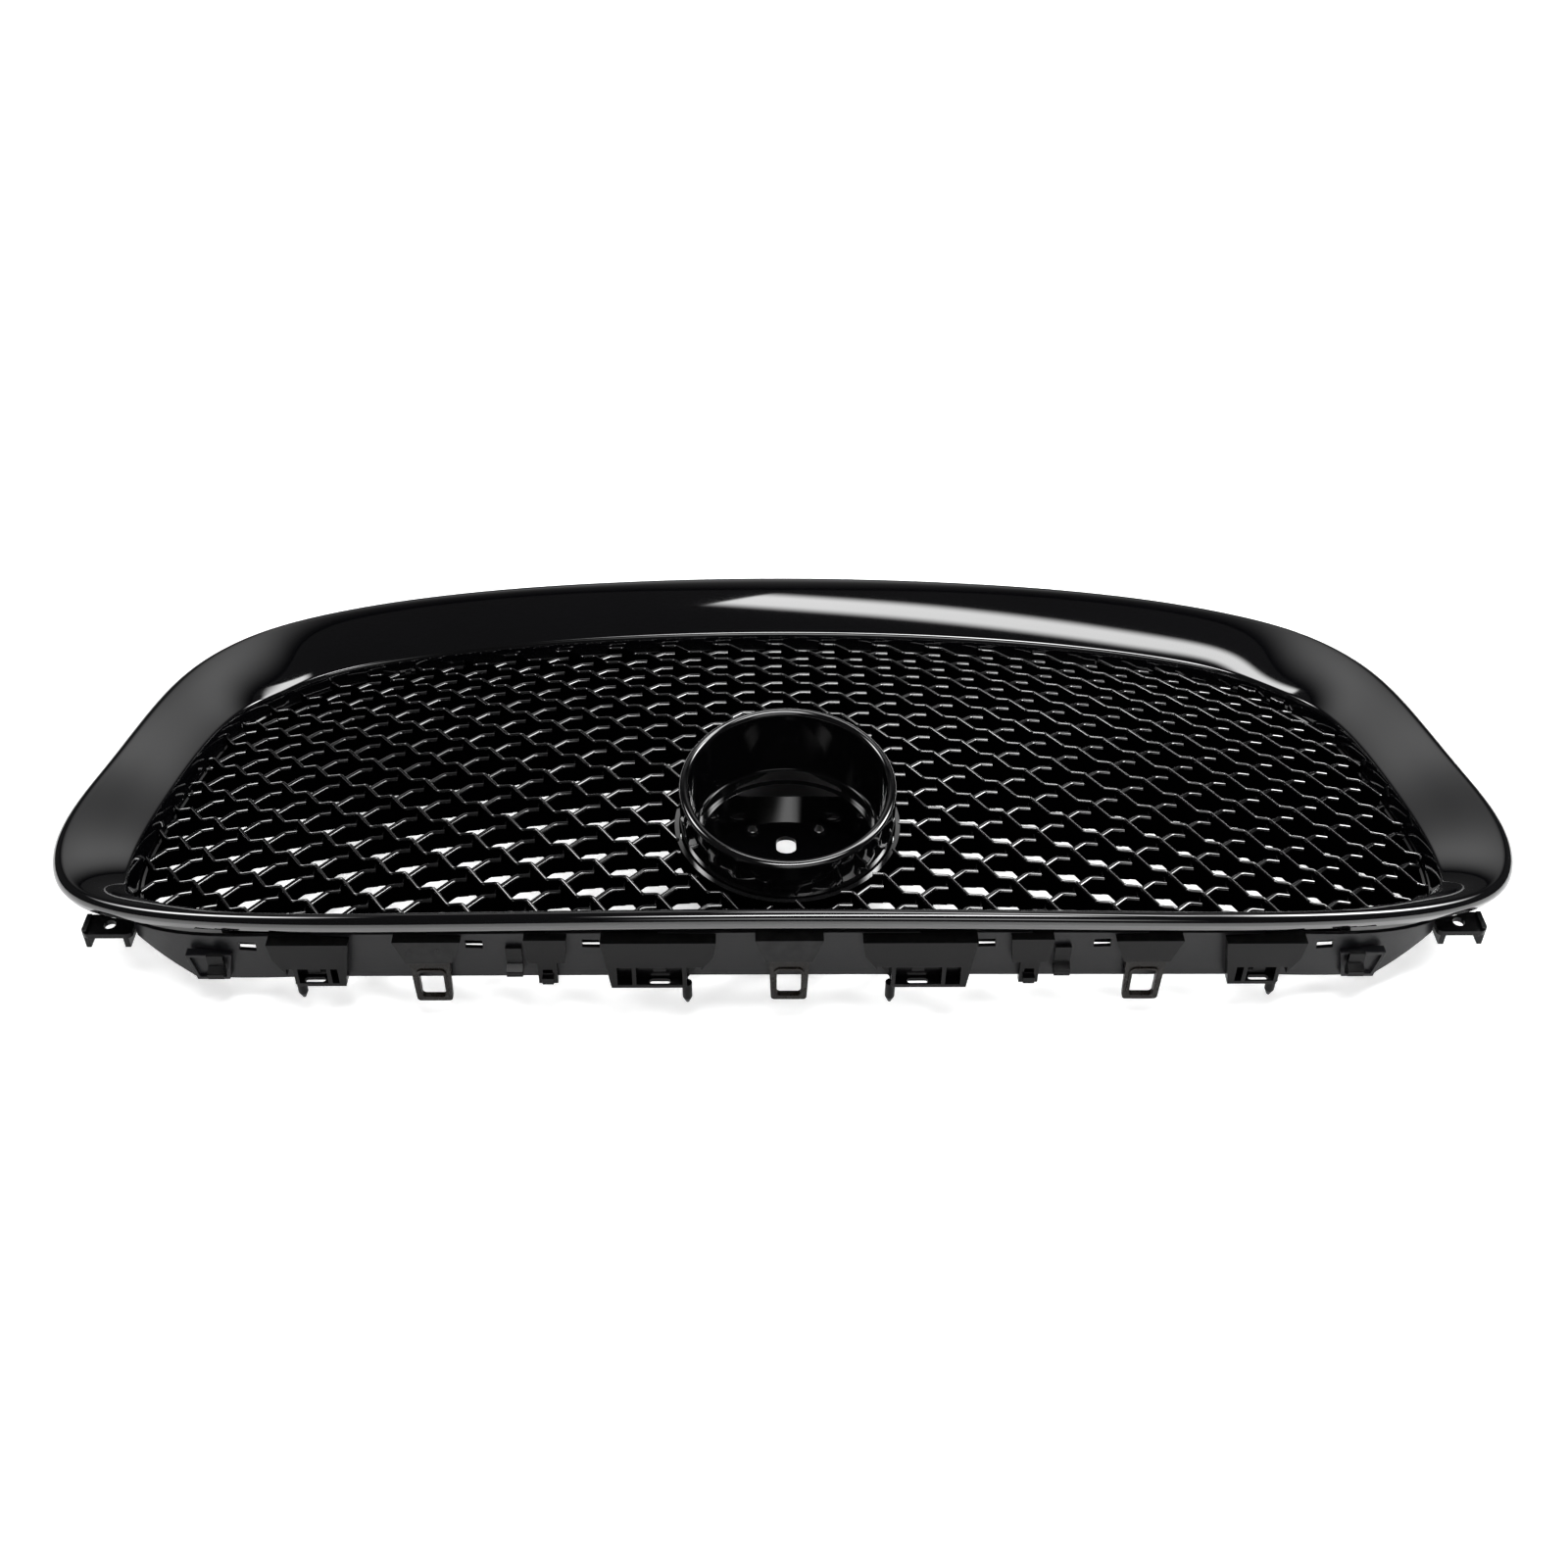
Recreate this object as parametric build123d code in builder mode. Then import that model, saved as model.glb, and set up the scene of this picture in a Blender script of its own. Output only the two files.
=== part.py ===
"""Front grille for a saloon car: gloss surround, honeycomb insert, badge cup and rear clip carrier.

Millimetres. The origin is on the badge axis, at the foot of the badge's seat. +Z points forward
out of the grille, +Y is up the car, +X runs across it. The grille is bowed both ways, so heights
are measured from `crown(x, y)`, the front face of the honeycomb.
"""

import os
from math import cos, radians, sin, sqrt, tan

from build123d import *

# ---- bow of the whole grille ----
CROWN_RADIUS_X = 1732.0
CROWN_RADIUS_Y = 647.0
CROWN_TOP = 15.0

# ---- surround: outer edge, honeycomb edge and section at each station, near edge to far edge ----
# (rim x, rim y, opening x, opening y, crest height, step width, step height, nose radius)
RING_STEPS = 34
RING = (
    (0.0, -97.5, 0.0, -74.0, 28.0, 14.0, 22.0, 4.4),
    (95.0, -95.8, 95.0, -72.4, 28.0, 14.0, 22.0, 4.4),
    (190.0, -90.0, 188.0, -66.5, 28.0, 14.0, 22.0, 4.4),
    (295.0, -75.0, 287.0, -54.0, 28.0, 13.0, 22.0, 4.4),
    (352.0, -57.5, 333.0, -40.0, 28.5, 9.0, 19.5, 4.8),
    (386.0, -35.0, 351.5, -24.0, 29.5, 4.0, 12.0, 5.6),
    (402.0, 6.0, 358.0, 6.0, 30.0, 2.5, 8.0, 6.5),
    (393.5, 70.0, 351.0, 66.0, 30.0, 2.5, 7.0, 6.5),
    (384.0, 136.0, 338.0, 138.0, 31.0, 2.5, 6.0, 6.5),
    (368.0, 195.0, 316.0, 172.0, 34.5, 2.5, 5.0, 6.5),
    (341.0, 228.0, 293.0, 191.0, 37.5, 2.5, 5.0, 6.5),
    (290.0, 248.5, 258.0, 203.0, 39.5, 2.5, 5.0, 6.5),
    (225.0, 257.5, 205.0, 209.0, 39.8, 2.5, 5.0, 6.5),
    (115.0, 261.5, 108.0, 212.5, 38.6, 2.5, 5.0, 6.5),
    (0.0, 262.5, 0.0, 213.0, 38.0, 2.5, 5.0, 6.5),
)
SKIN = 3.0
STEP_RADIUS = 1.6
LIP_IN = 2.0
LIP_DROP = 5.0
FOOT_DEPTH = 12.0

# ---- honeycomb insert ----
FACET_X = 92.0
FACET_REACH_X = 368.0
FACET_Y = 50.3
FACET_START_Y = -83.0
FACETS_Y = 6
MESH_DEPTH = 16.0
MESH_GAP = 0.9
MESH_BORDER = 3.0
STRAND = 2.4
CELL_PITCH_X = 17.0
CELL_PITCH_Y = 26.32
CELL_FLAT = 7.8
CELL_ORIGIN = (-4.3, 11.7)
LEDGE_STEP = 4.9
SMALLEST_CELL = 12.0
CUP_HOLE_RADIUS = 58.7

# ---- badge bezel and cup ----
RIM_TOP = 42.0
RIM_OUTER = 58.3
RIM_INNER = 53.0
RIM_ROUND = 2.4
SEAT_RADIUS = 48.6
SEAT_DEPTH = 7.5
CONE_FOOT = 49.8
BEZEL_WALL = 2.2
BEZEL_SKIRT = 57.6
BEZEL_FOOT = 0.0
CUP_RADIUS = 47.0
CUP_TOP = -0.15
CUP_WALL = 2.5
CUP_FLANGE = 2.5
FLOOR_TILT = 14.0
FLOOR_CENTRE = -17.5
BADGE_SCREW_SPACING = 38.0
BADGE_SCREW_Y = 36.0
BADGE_SCREW_RADIUS = 3.0
BADGE_BOSS_RADIUS = 4.8
BADGE_SLOT_WIDTH = 11.0
BADGE_SLOT_LENGTH = 19.0
BADGE_SLOT_Y = 20.0
CUP_SCREWS = 4
CUP_SCREW_CIRCLE = 53.1
CUP_SCREW_RADIUS = 1.45
CUP_SCREW_HEAD = 3.2
CUP_BOSS_RADIUS = 2.35
CUP_BOSS_HEIGHT = 9.0

# ---- clip carrier along the near edge ----
BAND_Y = -80.0
BAND_BOW = 14.0
BAND_HALF = 300
BAND_STEP = 50
BAND_TURN = (323.0, -60.8)
BAND_END = (345.0, -51.0)
BAND_THICK = 2.5
BAND_TOP = 9.0
BAND_BOTTOM = -22.0
BAND_SAG = 6.0
BAND_SAG_AT = 186.0
BAND_LOW_END = 316.0
BAND_END_BOTTOM = -20.0
LEDGE_WIDTH = 6.4
LEDGE_TOP = -7.2
LEDGE_THICK = 2.2
SLIT_CENTRES = (102.0, 162.5, 282.0)
SLIT_SIZE = (9.0, 5.5)
SLIT_Z = 1.5

# ---- clips and brackets on the carrier ----
BIB_TOP = 9.0
BIB_BOTTOM = -6.0
BIB_TOP_WIDTH = 35.0
BIB_FOOT_WIDTH = 24.0
BIB_DEPTH = 7.5
TAB_X = 186.0
TAB_WIDTH = 21.0
TAB_FOOT_WIDTH = 18.6
TAB_TOP = -7.0
TAB_BOTTOM = -35.5
TAB_OUT = 4.6
TAB_CORNER = 2.0
TAB_THICK = 2.8
TAB_WINDOW = (12.6, 18.5)
TAB_WINDOW_RISE = 3.6
TAB_AXIS_Z = -3.2
TAB_BEAD = 1.6
TAB_CLEARANCE = 0.05
TAB_NECK = 1.5
INNER_POCKET_X = 67.0
INNER_POCKET = (59.0, 50.0, -23.5)
OUTER_POCKET_X = 248.0
OUTER_POCKET = (42.0, 33.0, -21.0)
POCKET_DEPTH = 9.0
POCKET_WALL = 2.2
STUB_X = 125.0
HOOK_X = (142.0, 299.0)
PIN_X = (53.0, 256.0)
PIN_RADIUS = 2.6
PIN_TIP = -37.5
PIN_STEP = 5.0
END_POCKET_X = 303.0
EAR_X = 359.0
EAR_Y = -50.0
EAR_HOLE = 3.2


def crown(x, y):
    """Height of the honeycomb's front face: the bow across plus the bow up the car."""
    drop_x = CROWN_RADIUS_X - sqrt(CROWN_RADIUS_X**2 - x**2)
    drop_y = CROWN_RADIUS_Y - sqrt(CROWN_RADIUS_Y**2 - y**2)
    return CROWN_TOP - drop_x - drop_y


def sag(x):
    """How far the carrier has dropped below its middle at x."""
    return BAND_SAG * (x / BAND_SAG_AT) ** 2


def band_y(x):
    """Middle of the carrier wall at x."""
    return BAND_Y + BAND_BOW * (x / BAND_HALF) ** 2


def bowed_plate(depth):
    """A slab under crown(), in flat facets. A sum of two bows keeps every four-sided facet flat."""
    xs = [-FACET_REACH_X + FACET_X * i for i in range(round(2 * FACET_REACH_X / FACET_X) + 1)]
    ys = [FACET_START_Y + FACET_Y * i for i in range(FACETS_Y + 1)]

    def quad(*corners):
        return Face(Wire.make_polygon([(x, y, crown(x, y) - low) for x, y, low in corners]))

    faces = []
    for x0, x1 in zip(xs, xs[1:]):
        for y0, y1 in zip(ys, ys[1:]):
            for low in (0, depth):
                faces.append(quad((x0, y0, low), (x1, y0, low), (x1, y1, low), (x0, y1, low)))
        for y in (ys[0], ys[-1]):
            faces.append(quad((x0, y, 0), (x1, y, 0), (x1, y, depth), (x0, y, depth)))
    for y0, y1 in zip(ys, ys[1:]):
        for x in (xs[0], xs[-1]):
            faces.append(quad((x, y0, 0), (x, y1, 0), (x, y1, depth), (x, y0, depth)))
    return Solid(Shell(faces))


def cell_centres():
    """Centres of the honeycomb cells, row by row in each column."""
    centres = []
    for column in range(-21, 22):
        x = CELL_ORIGIN[0] + column * CELL_PITCH_X
        half_row = CELL_PITCH_Y / 2 if column % 2 else 0
        for row in range(-5, 9):
            y = CELL_ORIGIN[1] + row * CELL_PITCH_Y + half_row
            if -95 < y < 228:
                centres.append((x, y))
    return centres


def cell_shape():
    """The clear opening of one cell, half a strand inside the centre lines of its walls.

    A falling staircase of strands bounds the cell below and another above. The rising strand at
    each end of the cell stops short of the staircase and runs on as a ledge, hooked up to it.
    """
    half_row = CELL_PITCH_Y / 2
    flat = CELL_FLAT / 2
    reach = CELL_PITCH_X - flat
    with BuildSketch() as cell:
        Polygon(
            (-flat, -half_row),
            (flat, -half_row),
            (reach, -LEDGE_STEP),
            (reach + CELL_FLAT - 0.5, -LEDGE_STEP),
            (reach + CELL_FLAT, 0),
            (reach, 0),
            (flat, half_row),
            (flat - 0.5, half_row - LEDGE_STEP),
            (-flat, half_row - LEDGE_STEP),
            (-reach, 0),
            align=None,
        )
        offset(amount=-STRAND / 2, kind=Kind.INTERSECTION, mode=Mode.REPLACE)
    return cell.sketch.faces()[0]


def ring_lines():
    """The rim and the opening in plan, from the near edge round to the far edge."""
    rim = Spline(*[row[0:2] for row in RING], tangents=((1, 0), (-1, 0)))
    opening = Spline(*[row[2:4] for row in RING], tangents=((1, 0), (-1, 0)))
    return rim, opening


def opening_face(inset):
    """The opening, drawn in by inset. It has a corner at each of the surround's sections."""
    half = [opening_line @ (step / RING_STEPS) for step in range(RING_STEPS + 1)]
    corners = [(point.X, point.Y) for point in half]
    corners += [(-x, y) for x, y in reversed(corners[1:-1])]
    with BuildSketch() as plan:
        Polygon(*corners, align=None)
        offset(amount=-inset, kind=Kind.INTERSECTION, mode=Mode.REPLACE)
    return plan.sketch.faces()[0]


def ring_section(t):
    """Crest height, step width, step height and nose radius at fraction t of the way round."""
    place = t * (len(RING) - 1)
    first = min(int(place), len(RING) - 2)
    blend = place - first
    return [a + (b - a) * blend for a, b in zip(RING[first][4:], RING[first + 1][4:])]


def rounded(before, corner, after, radius):
    """Start, middle and end of the arc that rounds a corner between two straight runs."""
    back = (Vector(*before) - Vector(*corner)).normalized()
    ahead = (Vector(*after) - Vector(*corner)).normalized()
    half_angle = radians(back.get_angle(ahead)) / 2
    middle = (back + ahead).normalized() * (radius / sin(half_angle) - radius)
    reach = radius / tan(half_angle)
    return Vector(*corner) + back * reach, Vector(*corner) + middle, Vector(*corner) + ahead * reach


def band_edge(shift):
    """Plan points of the carrier wall, moved shift towards the far edge."""
    bow = [(x, band_y(x) + shift) for x in range(-BAND_HALF, BAND_HALF + 1, BAND_STEP)]
    turn = [(x, y + shift) for x, y in (BAND_TURN, BAND_END)]
    return [*[(-x, y) for x, y in reversed(turn)], *bow, *turn]


def carrier_strip(near, far, low, high, half_length):
    """A strip that follows the carrier's bow in plan and its sag in height."""
    end_low = low - sag(half_length)
    end_high = high - sag(half_length)
    with BuildPart() as strip:
        with BuildSketch(Plane.XY.offset(-80)):
            with BuildLine():
                outer = Spline(*band_edge(near))
                inner = Spline(*band_edge(far))
                Line(outer @ 0, inner @ 0)
                Line(outer @ 1, inner @ 1)
            make_face()
        extrude(amount=120)
        with BuildSketch(Plane.XZ):
            with BuildLine():
                ThreePointArc((-half_length, end_high), (0, high), (half_length, end_high))
                Line((half_length, end_high), (half_length, end_low))
                ThreePointArc((half_length, end_low), (0, low), (-half_length, end_low))
                Line((-half_length, end_low), (-half_length, end_high))
            make_face()
        extrude(amount=120, mode=Mode.INTERSECT)
    return strip.part


def on_band(x, out=0.0):
    """A plane facing outward from the carrier wall at x: local x is across, local y is up."""
    return Plane(origin=(x, band_y(x) - out, -sag(x)), x_dir=(1, 0, 0), z_dir=(0, -1, 0))


def across_band(x, start):
    """A plane across the carrier at x, starting at start: local x is outward, local y is up."""
    return Plane(origin=(start, band_y(x), -sag(x)), x_dir=(0, -1, 0), z_dir=(-1, 0, 0))


def under_band(x, height):
    """A level plane at x, height above the carrier's own zero: local x is across, local y is inward."""
    return Plane(origin=(x, band_y(x), height - sag(x)))


# ---- surround ----
rim_line, opening_line = ring_lines()
with BuildPart() as surround:
    for step in range(RING_STEPS + 1):
        t = step / RING_STEPS
        rim_at = rim_line @ t
        open_at = opening_line @ t
        crest, step_in, step_up, nose = ring_section(t)
        outward = rim_at - open_at
        width = outward.length
        foot = crown(open_at.X, open_at.Y)
        top = crown(rim_at.X, rim_at.Y) + crest - foot
        lip = top - nose - LIP_DROP
        step_arc = rounded((0, 0), (step_in, step_up), (width, top), STEP_RADIUS)
        nose_arc = rounded((step_in, step_up), (width, top), (width - LIP_IN, lip), nose)
        normal = Vector(outward.Y, -outward.X, 0)
        with BuildSketch(Plane(origin=(open_at.X, open_at.Y, foot), x_dir=outward, z_dir=normal)):
            with BuildLine():
                Polyline((0, -FOOT_DEPTH), (0, 0), step_arc[0])
                ThreePointArc(*step_arc)
                Line(step_arc[2], nose_arc[0])
                ThreePointArc(*nose_arc)
                Polyline(
                    nose_arc[2],
                    (width - LIP_IN, lip),
                    (width - LIP_IN - SKIN, lip),
                    (width - nose, top - SKIN - 0.3 * nose),
                    (step_in + 0.9 * SKIN, step_up - 0.5 * SKIN),
                    (SKIN, -0.5 * SKIN),
                    (SKIN, -FOOT_DEPTH),
                    (0, -FOOT_DEPTH),
                )
            make_face()
    loft(ruled=True)
    mirror(about=Plane.YZ)
surround.part.label = "surround"


# ---- honeycomb insert ----
def cell_outlines(clear):
    """The outline of every cell, cut off where the cell meets the border of the insert."""
    outlines = []
    template = cell_shape()
    for x, y in cell_centres():
        cell = template.moved(Location((x, y, 0)))
        inside = [clear.is_inside(corner.center()) for corner in cell.vertices()]
        if all(inside):
            outlines.append(cell.outer_wire())
        elif any(inside):
            kept = cell & clear
            outlines += [piece.outer_wire() for piece in kept.faces() if piece.area > SMALLEST_CELL]
    return outlines


with BuildSketch() as clear_plan:
    add(opening_face(MESH_GAP + MESH_BORDER))
    Circle(CUP_HOLE_RADIUS + MESH_BORDER, mode=Mode.SUBTRACT)

# One face with all its holes: cutting several hundred cells one at a time takes far longer.
cup_hole = Wire(Edge.make_circle(CUP_HOLE_RADIUS))
mesh_outline = opening_face(MESH_GAP).outer_wire()
mesh_plan = Face(mesh_outline, [*cell_outlines(clear_plan.sketch.faces()[0]), cup_hole])
mesh_slab = bowed_plate(MESH_DEPTH)

with BuildPart() as mesh_insert:
    with BuildSketch(Plane.XY.offset(-90)):
        add(mesh_plan)
    extrude(amount=120)
    add(mesh_slab, mode=Mode.INTERSECT)
mesh_insert.part.label = "mesh_insert"


# ---- badge bezel ----
with BuildPart() as badge_bezel:
    rim_side = RIM_TOP - RIM_ROUND
    with BuildSketch(Plane.XZ):
        with BuildLine():
            crest_radius = (RIM_INNER + RIM_OUTER) / 2
            ThreePointArc((RIM_INNER, rim_side), (crest_radius, RIM_TOP), (RIM_OUTER, rim_side))
            Polyline(
                (RIM_OUTER, rim_side),
                (BEZEL_SKIRT, BEZEL_FOOT),
                (BEZEL_SKIRT - BEZEL_WALL, BEZEL_FOOT),
                (RIM_OUTER - BEZEL_WALL, rim_side - BEZEL_WALL),
                (RIM_INNER + BEZEL_WALL - 0.2, rim_side - BEZEL_WALL),
                (SEAT_RADIUS + BEZEL_WALL, BEZEL_FOOT),
                (SEAT_RADIUS, BEZEL_FOOT),
                (SEAT_RADIUS, SEAT_DEPTH),
                (CONE_FOOT, SEAT_DEPTH),
                (RIM_INNER, rim_side),
            )
        make_face()
    revolve(axis=Axis.Z)
    with BuildSketch(Plane.XY.offset(BEZEL_FOOT)):
        with PolarLocations(CUP_SCREW_CIRCLE, CUP_SCREWS, start_angle=45):
            Circle(CUP_BOSS_RADIUS)
    extrude(amount=CUP_BOSS_HEIGHT)
    with BuildSketch(Plane.XY.offset(BEZEL_FOOT)):
        with PolarLocations(CUP_SCREW_CIRCLE, CUP_SCREWS, start_angle=45):
            Circle(CUP_SCREW_RADIUS + 0.05)
    extrude(amount=CUP_BOSS_HEIGHT - 1, mode=Mode.SUBTRACT)
badge_bezel.part.label = "badge_bezel"


# ---- badge cup: a tilted floor under the seat, drilled along the badge axis ----
tilt = radians(FLOOR_TILT)
floor_plane = Plane(origin=(0, 0, FLOOR_CENTRE), x_dir=(1, 0, 0), z_dir=(0, sin(tilt), cos(tilt)))
boss_top = FLOOR_CENTRE - BADGE_SCREW_Y * tan(tilt) + 1.8

with BuildPart() as cup_hollow:
    with BuildSketch(Plane.XY.offset(-60)):
        Circle(CUP_RADIUS)
    extrude(amount=70)
    split(bisect_by=floor_plane, keep=Keep.TOP)

with BuildPart() as badge_cup:
    with BuildSketch(Plane.XY.offset(-60)):
        Circle(CUP_RADIUS + CUP_WALL)
    extrude(amount=60 + CUP_TOP)
    split(bisect_by=floor_plane.offset(-CUP_WALL), keep=Keep.TOP)
    with BuildSketch(Plane.XY.offset(-CUP_FLANGE)):
        Circle(BEZEL_SKIRT)
    extrude(amount=CUP_FLANGE + CUP_TOP)
    add(cup_hollow.part, mode=Mode.SUBTRACT)
    with BuildSketch(Plane.XY.offset(boss_top - 4)):
        with Locations((0, BADGE_SCREW_Y)):
            with GridLocations(BADGE_SCREW_SPACING, 1, 2, 1):
                Circle(BADGE_BOSS_RADIUS)
    extrude(amount=4)
    with BuildSketch(Plane.XY.offset(-60)):
        with Locations((0, BADGE_SCREW_Y)):
            with GridLocations(BADGE_SCREW_SPACING, 1, 2, 1):
                Circle(BADGE_SCREW_RADIUS)
        with Locations((0, BADGE_SLOT_Y)):
            SlotOverall(BADGE_SLOT_LENGTH, BADGE_SLOT_WIDTH, rotation=90)
        with PolarLocations(CUP_SCREW_CIRCLE, CUP_SCREWS, start_angle=45):
            Circle(CUP_SCREW_RADIUS + 0.05)
    extrude(amount=60, mode=Mode.SUBTRACT)
badge_cup.part.label = "badge_cup"


# ---- screws that hold the cup to the bezel, from behind ----
with BuildPart() as cup_screws:
    with BuildSketch(Plane.XY.offset(-CUP_FLANGE)):
        with PolarLocations(CUP_SCREW_CIRCLE, CUP_SCREWS, start_angle=45):
            Circle(CUP_SCREW_HEAD)
    extrude(amount=-2.0)
    with BuildSketch(Plane.XY.offset(-CUP_FLANGE)):
        with PolarLocations(CUP_SCREW_CIRCLE, CUP_SCREWS, start_angle=45):
            Circle(CUP_SCREW_RADIUS)
    extrude(amount=CUP_FLANGE + CUP_BOSS_HEIGHT - 2)
    with BuildSketch(Plane.XY.offset(-CUP_FLANGE - 2.0)):
        with PolarLocations(CUP_SCREW_CIRCLE, CUP_SCREWS, start_angle=45):
            RegularPolygon(1.6, 6)
    extrude(amount=1.1, mode=Mode.SUBTRACT)
cup_screws.part.label = "cup_screws"


# ---- clip carrier ----
wall = carrier_strip(-BAND_THICK / 2, BAND_THICK / 2, BAND_BOTTOM, BAND_TOP, BAND_END[0])
ledge = carrier_strip(0, LEDGE_WIDTH, LEDGE_TOP - LEDGE_THICK, LEDGE_TOP, BAND_HALF)
with BuildPart() as lower_carrier:
    add(wall)
    add(ledge)
    with BuildSketch(Plane.XZ):
        for side in (-1, 1):
            with BuildLine():
                Polyline(
                    (side * BAND_LOW_END, BAND_BOTTOM - sag(BAND_LOW_END) + 0.5),
                    (side * (BAND_END[0] + 1), BAND_END_BOTTOM),
                    (side * (BAND_END[0] + 1), -70),
                    (side * BAND_LOW_END, -70),
                    close=True,
                )
            make_face()
            for x in SLIT_CENTRES:
                with Locations((side * x, SLIT_Z - sag(x))):
                    Rectangle(*SLIT_SIZE)
    extrude(amount=120, mode=Mode.SUBTRACT)
lower_carrier.part.label = "lower_carrier"


def bib(plane_x, top_width, foot_width, foot, depth):
    """A trapezoid block standing off the carrier wall at plane_x, wider at the top."""
    with BuildPart() as block:
        with BuildSketch(on_band(plane_x)):
            Polygon(
                (-top_width / 2, BIB_TOP),
                (top_width / 2, BIB_TOP),
                (foot_width / 2, foot),
                (-foot_width / 2, foot),
                align=None,
            )
        extrude(amount=depth)
        add(lower_carrier.part, mode=Mode.SUBTRACT)
    return block.part.solids().sort_by(SortBy.VOLUME)[-1]


def tab_mount(x):
    """The block a snap tab hangs from, with a round groove for the tab's root bead."""
    groove = TAB_BEAD + TAB_CLEARANCE
    with BuildPart() as mount:
        add(bib(x, BIB_TOP_WIDTH, BIB_FOOT_WIDTH, BIB_BOTTOM, BIB_DEPTH))
        with BuildSketch(across_band(x, x + TAB_WIDTH / 2 + 0.1)):
            with Locations((TAB_OUT, TAB_AXIS_Z)):
                Circle(groove)
            with Locations((TAB_OUT + 0.3, BIB_BOTTOM)):
                Rectangle(TAB_NECK + 1.0, 2 * (TAB_AXIS_Z - BIB_BOTTOM))
        extrude(amount=TAB_WIDTH + 0.2, mode=Mode.SUBTRACT)
    return mount.part


def snap_tab(x):
    """A windowed snap tab with its neck and root bead."""
    with BuildPart() as tab:
        with BuildSketch(on_band(x, TAB_OUT - TAB_THICK / 2)):
            Polygon(
                (-TAB_WIDTH / 2, TAB_TOP),
                (TAB_WIDTH / 2, TAB_TOP),
                (TAB_FOOT_WIDTH / 2, TAB_BOTTOM),
                (-TAB_FOOT_WIDTH / 2, TAB_BOTTOM),
                align=None,
            )
            fillet(vertices().group_by(Axis.Y)[0], radius=TAB_CORNER)
            with Locations((0, TAB_BOTTOM + TAB_WINDOW_RISE + TAB_WINDOW[1] / 2)):
                RectangleRounded(*TAB_WINDOW, radius=TAB_CORNER, mode=Mode.SUBTRACT)
        extrude(amount=TAB_THICK)
        with BuildSketch(on_band(x, TAB_OUT + TAB_THICK / 2)):
            with Locations((0, TAB_BOTTOM + TAB_WINDOW_RISE + TAB_WINDOW[1] / 2)):
                RectangleRounded(TAB_WINDOW[0] + 3, TAB_WINDOW[1] + 3, radius=TAB_CORNER + 1.5)
                RectangleRounded(*TAB_WINDOW, radius=TAB_CORNER, mode=Mode.SUBTRACT)
        extrude(amount=0.8)
        with BuildSketch(across_band(x, x + TAB_WIDTH / 2)):
            with Locations((TAB_OUT, TAB_AXIS_Z)):
                Circle(TAB_BEAD)
            with Locations((TAB_OUT, (TAB_AXIS_Z + TAB_TOP) / 2)):
                Rectangle(TAB_NECK, TAB_AXIS_Z - TAB_TOP + 0.2)
        extrude(amount=TAB_WIDTH)
    return tab.part


def clip_pocket(x, sizes, skew):
    """A pocket box: solid bib above, open recess below with two ribs, a tongue and a slotted sill."""
    top_width, foot_width, foot = sizes
    sill = foot + POCKET_WALL
    roof = -8.5
    recess_width = foot_width - 3 * POCKET_WALL
    with BuildPart() as pocket:
        add(bib(x, top_width, foot_width, foot, POCKET_DEPTH))
        with BuildSketch(on_band(x, 3.2)):
            with Locations((0, (roof + sill) / 2)):
                Rectangle(recess_width, roof - sill)
        extrude(amount=POCKET_DEPTH, mode=Mode.SUBTRACT)
        with BuildSketch(on_band(x, 3.2)):
            with Locations((0, (roof + sill) / 2)):
                with GridLocations(foot_width * 0.52, 1, 2, 1):
                    Rectangle(POCKET_WALL, roof - sill)
        extrude(amount=POCKET_DEPTH - 3.2)
        with BuildSketch(on_band(x, 3.2)):
            with Locations((0, roof - 3.5)):
                Rectangle(6.6, 7)
        extrude(amount=1.8)
        with BuildSketch(under_band(x, foot - 1)):
            with Locations((0, -6.1)):
                SlotOverall(11, 3.4)
        extrude(amount=POCKET_WALL + 2, mode=Mode.SUBTRACT)
        with BuildSketch(on_band(x)):
            edge = skew * top_width / 2
            Polygon((edge, foot - 1), (edge, BIB_TOP - 8), (skew * foot_width / 4, foot - 1), align=None)
        extrude(amount=POCKET_DEPTH + 1, mode=Mode.SUBTRACT)
        add(lower_carrier.part, mode=Mode.SUBTRACT)
    return pocket.part.solids().sort_by(SortBy.VOLUME)[-1]


def stub_bracket(x):
    """A narrow bib with a square stub hanging under it."""
    with BuildPart() as bracket:
        add(bib(x, 22, 19, -7.5, 6.5))
        with BuildSketch(on_band(x, 2.2)):
            with Locations((0, -15)):
                Rectangle(10, 16)
        extrude(amount=3.6)
        with BuildSketch(on_band(x, 2.2)):
            with Locations((0, -19.5)):
                Rectangle(6, 4)
        extrude(amount=6)
        with BuildSketch(on_band(x, 1)):
            with Locations((0, -14.5)):
                Rectangle(5, 3)
        extrude(amount=8, mode=Mode.SUBTRACT)
        add(lower_carrier.part, mode=Mode.SUBTRACT)
    return bracket.part.solids().sort_by(SortBy.VOLUME)[-1]


def snap_hook(x, out, foot):
    """A square hook: a flat stem with a toe that points outward."""
    with BuildPart() as hook:
        with BuildSketch(across_band(x, x + 4.2)):
            with BuildLine():
                Polyline(
                    (out, 0.5),
                    (out + 2.4, 0.5),
                    (out + 2.4, foot + 6),
                    (out + 6.5, foot + 3.5),
                    (out + 6.5, foot),
                    (out, foot),
                    close=True,
                )
            make_face()
        extrude(amount=8.4)
        fillet(hook.edges().filter_by(Axis.X).sort_by(Axis.Y)[:2], radius=0.6)
        add(lower_carrier.part, mode=Mode.SUBTRACT)
    return hook.part.solids().sort_by(SortBy.VOLUME)[-1]


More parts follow.
